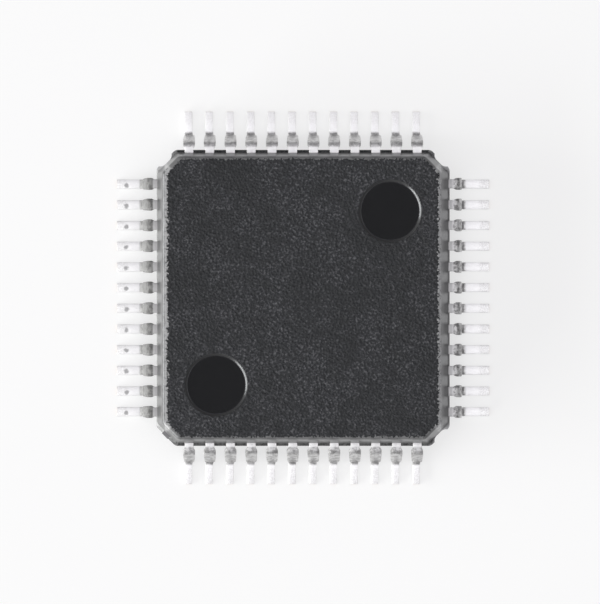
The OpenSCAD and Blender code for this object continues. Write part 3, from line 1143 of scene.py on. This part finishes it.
@dataclass
class LeadFrame:
    """The 48 leads: inner tip, fan, dam bar stub and gull-wing foot."""

    box: Box
    thickness: float = 0.127
    width: float = 0.22
    swell: tuple[float, ...] = (0.236, 0.256, 0.272, 0.282, 0.288, 0.29, 0.288, 0.284)
    taper: tuple[float, ...] = (0.274, 0.255, 0.235, 0.218)
    outer_pitch: float = 0.5
    inner_pitch: float = 0.33
    tip_land: float = 0.2
    fan_end: float = 3.3
    wall: float = 3.5
    shoulder_radius: float = 0.08
    heel_radius: float = 0.09
    forms: dict[Side, LeadForm] = field(
        default_factory=lambda: {
            Side.LEFT: LeadForm(shoulder=3.58),
            Side.FRONT: LeadForm(leg_slope=74.0, foot_width=0.18, foot_aside=-0.02),
            Side.RIGHT: LeadForm(shoulder=3.62, leg_slope=89.0, foot_width=0.215),
            Side.BACK: LeadForm(leg_slope=77.0, foot_width=0.19, foot_aside=0.02),
        }
    )
    edge_round: float = 0.014
    per_side: int = 12
    # Each side's tin is a copy set lighter or darker for how the light falls on that side: the painted
    # shade on its roots and bends differs by side, and the feet are painted brighter at the right than at
    # the left
    tins: tuple[TinPlate, ...] = (
        TinPlate(
            Side.LEFT,
            bend_shade=0.15,
            root=0.46,
            shade_end=-0.01,
            blotch=0.15,
            tin=0.84,
            scuffed=0.7,
            probe=0.35,
            bend_roughness=0.85,
        ),
        TinPlate(Side.FRONT, bend_shade=0.32, root=0.85, shade_start=-0.05, scuff_length=0.45),
        TinPlate(Side.RIGHT, bend_shade=0.22, root=0.5, shade_start=-0.04, tin=1.0),
        TinPlate(Side.BACK, bend_shade=0.45, root=0.95, scuff_length=0.36, scuffed=0.88),
    )

    @property
    def across(self) -> float:
        """Distance between the middles of the two bends, measured across the leg."""
        return self.shoulder_radius + self.thickness + self.heel_radius

    def leg_length(self, form: LeadForm) -> float:
        """Length of the straight stretch between the bends of a form."""
        drop = self.box.high.z - self.thickness - self.across
        return (self.across * math.sin(form.tilt) + drop) / math.cos(form.tilt)

    def heel_end(self, form: LeadForm) -> float:
        """Distance from the middle of the pack at which the foot of a form starts."""
        leg = self.leg_length(form)
        return form.shoulder + self.across * math.cos(form.tilt) + leg * math.sin(form.tilt)

    def stations(self, side: Side) -> Stations:
        """Where the finish of one side's leads changes."""
        form = self.forms[side]
        return Stations(self.wall, form.shoulder, self.heel_end(form), self.box.high.x, self.outer_pitch)

    def blank(self, name: str, shoulder: float) -> Workpiece:
        """Starts a flat strip on the right side, from the inner tip to the shoulder.

        Args:
            name: Name of the object.
            shoulder: Distance of its outer end from the middle of the pack.

        Returns:
            The strip, open for editing, with its outer end selected.
        """
        top = self.box.high.z
        strip = Workpiece.start(
            name,
            bpy.ops.mesh.primitive_cube_add,
            size=1,
            location=(self.box.low.x + self.tip_land / 2, 0, top - self.thickness / 2),
            scale=(self.tip_land, self.width, self.thickness),
        )
        strip.pick(Element.FACE, lambda f: f.normal.x > 0.9)
        for station in (self.fan_end, shoulder):
            reach = max(v.co.x for v in strip.mesh.verts)
            self.draw_out((station - reach, 0, 0))
        return strip

    @staticmethod
    def draw_out(step: tuple[float, float, float]) -> None:
        """Extrudes the selected end of a strip by a step."""
        bpy.ops.mesh.extrude_region_move(TRANSFORM_OT_translate={"value": step})

    @staticmethod
    def bend(angle: float, hub: tuple[float, float, float]) -> None:
        """Bends the selected end of a strip by a facet, downwards for a positive angle.

        Args:
            angle: Angle of the facet.
            hub: Middle of the bend.
        """
        bpy.ops.mesh.spin(steps=1, angle=angle, center=hub, axis=(0, -1, 0))

    @staticmethod
    def widen(times: float) -> None:
        """Scales the width of the selected end of a strip."""
        bpy.ops.transform.resize(value=(1, times, 1))

    def pattern(self, side: Side) -> bpy.types.Object:
        """Models the lead that one side's leads are copied from, in the middle of the right side.

        Args:
            side: The side whose leads it is for.

        Returns:
            The lead, in millimetres.
        """
        form = self.forms[side]
        strip = self.blank(f"lead_pattern_{side.name.lower()}", form.shoulder)
        low = self.box.high.z - self.thickness
        down = Vector((math.sin(form.tilt), 0, -math.cos(form.tilt)))
        width, turn = self.width, math.radians(form.leg_slope)
        # Shoulder, which swells into the remains of the dam bar
        hub = (form.shoulder, 0, low - self.shoulder_radius)
        for wider in self.swell:
            self.bend(turn / len(self.swell), hub)
            self.widen(wider / width)
            width = wider
        # Leg, then the heel, where the remains of the dam bar end
        for narrower in self.taper[:2]:
            self.draw_out(tuple(down * self.leg_length(form) / 2))
            self.widen(narrower / width)
            width = narrower
        heel_end = self.heel_end(form)
        heel = (*self.taper[2:], *[form.foot_width] * 6)
        for narrower in heel:
            self.bend(-turn / len(heel), (heel_end, 0, self.thickness + self.heel_radius))
            self.widen(narrower / width)
            bpy.ops.transform.translate(value=(0, form.foot_aside / len(heel), 0))
            width = narrower
        self.draw_out((self.box.high.x - heel_end, 0, 0))
        lead = strip.close()
        limit = math.radians(40)
        apply(lead, "BEVEL", width=self.edge_round, segments=2, limit_method="ANGLE", angle_limit=limit)
        return lead

    def fan(self, lead: bpy.types.Object, place_in_row: float) -> None:
        """Pulls the inner tip of a lead to its own pitch and the rest to the outer pitch.

        Args:
            lead: A lead in the middle of its side.
            place_in_row: Its place, counted from the middle of the row.
        """
        hand = Workpiece(lead)
        bpy.ops.mesh.select_all(action="SELECT")
        bpy.ops.transform.translate(value=(0, place_in_row * self.outer_pitch, 0))
        bend = self.box.low.x + self.tip_land + 0.1
        hand.pick(Element.VERT, lambda v: v.co.x < bend)
        bpy.ops.transform.translate(value=(0, place_in_row * (self.inner_pitch - self.outer_pitch), 0))
        bpy.ops.object.mode_set(mode="OBJECT")

    def row(self, pattern: bpy.types.Object, side: Side, first: int) -> list[bpy.types.Object]:
        """Copies the pattern to one side of the pack.

        Args:
            pattern: The lead to copy.
            side: The side.
            first: Number of its first lead.

        Returns:
            The leads, in their places, in millimetres.
        """
        leads = []
        for index in range(self.per_side):
            lead = twin(pattern, f"tinned_lead_{first + index:02d}")
            self.fan(lead, index - (self.per_side - 1) / 2)
            place(lead, side.turn)
            leads.append(lead)
        return leads

    def all_rows(self, model: Callable[[Side], bpy.types.Object]) -> dict[Side, list[bpy.types.Object]]:
        """Models each side's lead and copies it along the side, numbered as the CAD leads are.

        Args:
            model: Models the lead of a side.

        Returns:
            The leads of each side.
        """
        rows = {}
        for k, side in enumerate(Side):
            pattern = model(side)
            rows[side] = self.row(pattern, side, 1 + k * self.per_side)
            bpy.data.objects.remove(pattern)
        return rows

    def pockets(self) -> bpy.types.Object:
        """Models the flat blanks of all leads as one cutter for the moulding.

        Returns:
            The joined blanks.
        """
        rows = self.all_rows(lambda side: self.blank("blank", self.forms[side].shoulder).close())
        blanks = [blank for row in rows.values() for blank in row]
        bpy.ops.object.select_all(action="DESELECT")
        for blank in blanks:
            blank.select_set(True)
        bpy.context.view_layer.objects.active = blanks[0]
        bpy.ops.object.join()
        return blanks[0]

    def build(self) -> dict[Side, list[bpy.types.Object]]:
        """Models all leads.

        Returns:
            The finished leads of each side, in metres, in the order of the CAD leads.
        """
        rows = self.all_rows(self.pattern)
        for row in rows.values():
            for lead in row:
                only(lead)
                bpy.ops.object.shade_smooth_by_angle(angle=math.radians(40))
                to_metres(lead)
        return rows

    def dress(self, rows: dict[Side, list[bpy.types.Object]]) -> None:
        """Gives each side's leads their tin and their places.

        Args:
            rows: The finished leads of each side.
        """
        for tin in self.tins:
            material = tin.make(self.stations(tin.side))
            for piece in rows[tin.side]:
                install(piece, piece.name.removeprefix("tinned_"), material)


# ---- The die and what holds it ----


@dataclass(frozen=True)
class DieStack:
    """Pad, adhesive, die and bond wires inside the moulding, which keep their CAD shapes."""

    solids: ClassVar[tuple[str, ...]] = ("die_pad", "die_attach", "die")
    wires: tuple[str, ...] = ("left", "front", "right", "back")

    def dress(self, bar_end: float) -> None:
        """Gives each node its finish.

        Args:
            bar_end: Distance of the shorter tie bars' ends from the middle, in millimetres.
        """
        finishes = (FrameAlloy().make(bar_end), SilverAdhesive().make(), Silicon().make())
        for node, finish in zip(self.solids, finishes):
            coat(node, finish)
        gold = BondGold().make()
        for side in self.wires:
            coat(f"bond_wires_{side}", gold)


# ---- The studio ----


@dataclass(frozen=True)
class Softbox:
    """Lamp that faces the pack, with its angles in degrees and its sizes in millimetres."""

    name: str
    azimuth: float
    elevation: float
    power: float
    width: float
    height: float
    distance: float = 300.0
    colour: tuple[float, float, float] = (0.995, 1.0, 0.98)

    def hang(self) -> None:
        """Hangs the lamp."""
        data = bpy.data.lights.new(self.name, "AREA")
        data.shape = "RECTANGLE"
        data.size, data.size_y = self.width / MM, self.height / MM
        # A lamp's watts spread over its area and half the sphere
        data.energy = self.power * math.pi * data.size * data.size_y
        data.color = self.colour
        lamp = bpy.data.objects.new(self.name, data)
        bpy.context.collection.objects.link(lamp)
        a, e = math.radians(self.azimuth), math.radians(self.elevation)
        toward = Vector((math.cos(a) * math.cos(e), math.sin(a) * math.cos(e), math.sin(e)))
        turned = toward.to_track_quat("Z", "Y").to_matrix().to_4x4()
        lamp.matrix_world = Matrix.Translation(toward * self.distance / MM) @ turned


@dataclass
class Studio:
    """Pale floor, two softboxes at the sides, a low strip at the left and a camera straight above."""

    middle: Vector
    parting: float
    sheet: float = 600.0
    gap: float = 0.004
    distance: float = 250.0
    view_width: float = 14.4578
    aside: float = -0.0747
    ahead: float = -0.0988
    lamps: tuple[Softbox, ...] = (
        Softbox("softbox_left", azimuth=200, elevation=57, power=1.1, width=250, height=90),
        Softbox("softbox_right", azimuth=-10, elevation=57, power=1.2, width=250, height=90),
        Softbox("strip_left", azimuth=198, elevation=15, power=13.0, width=350, height=100),
    )
    overhead: float = 0.2
    walls: dict[float, float] = field(
        default_factory=lambda: {0.6: 0.23, 0.77: 0.5, 0.9: 1.0, 0.985: 1.4, 0.994: 0.2}
    )

    def floor(self) -> None:
        """Lays the floor just under the feet."""
        plane = bpy.ops.mesh.primitive_plane_add
        sheet = Workpiece.start("floor", plane, size=self.sheet, location=(0, 0, -self.gap))
        sheet.pick(Element.FACE, lambda f: True)
        bpy.ops.mesh.subdivide(number_cuts=3)
        bpy.ops.object.mode_set(mode="OBJECT")
        to_metres(sheet.object)
        sheet.object.data.materials.append(PaperFloor().make())

    def world(self) -> None:
        """Lights the studio's walls by height, darker overhead where the camera hangs."""
        world = bpy.data.worlds.new("studio")
        bpy.context.scene.world = world
        world.use_nodes = True
        tree = world.node_tree
        ramp = tree.nodes.new("ShaderNodeValToRGB")
        stops = ramp.color_ramp
        stops.interpolation = "EASE"
        stops.elements[0].color = stops.elements[1].color = self.glow(self.overhead)
        for height, level in self.walls.items():
            stops.elements.new(height).color = self.glow(level)
        apart = tree.nodes.new("ShaderNodeSeparateXYZ")
        tree.links.new(tree.nodes.new("ShaderNodeTexCoord").outputs["Generated"], apart.inputs[0])
        tree.links.new(apart.outputs[2], ramp.inputs[0])
        tree.links.new(ramp.outputs[0], tree.nodes["Background"].inputs["Color"])

    @staticmethod
    def glow(level: float) -> tuple[float, float, float, float]:
        """Light of the studio's walls at a level."""
        return (level, 0.985 * level, 1.03 * level, 1.0)

    def camera(self) -> None:
        """Hangs the camera over the pack, looking straight down."""
        data = bpy.data.cameras.new("camera")
        data.sensor_fit = "HORIZONTAL"
        data.sensor_width = 36
        data.lens = data.sensor_width * self.distance / self.view_width
        data.clip_start, data.clip_end = 0.01, 10
        camera = bpy.data.objects.new("camera", data)
        bpy.context.collection.objects.link(camera)
        eye = Vector((self.middle.x + self.aside, self.middle.y + self.ahead, self.parting + self.distance))
        camera.location = eye / MM
        bpy.context.scene.camera = camera

    def build(self) -> None:
        """Sets up the floor, the light and the camera."""
        self.floor()
        for lamp in self.lamps:
            lamp.hang()
        self.world()
        self.camera()
        bpy.context.scene.view_settings.view_transform = "Standard"


def main() -> None:
    """Builds the pack in the frame, dresses it and sets up the studio."""
    logging.basicConfig(level=logging.INFO, format="%(name)s %(message)s")
    body_box, lead_box = Box.of("mould_body"), Box.of("lead_30")

    lead_frame = LeadFrame(lead_box)
    lead_frame.dress(lead_frame.build())

    moulding = Moulding(body_box, lead_box.high.z)
    body = moulding.build(lead_frame.pockets(), DieStack.solids)
    moulding.dress(body, lead_frame.outer_pitch)

    DieStack().dress(moulding.lower_reach - moulding.notch_depth)

    Studio((body_box.low + body_box.high) / 2, lead_box.high.z).build()


if __name__ == "__main__":
    main()
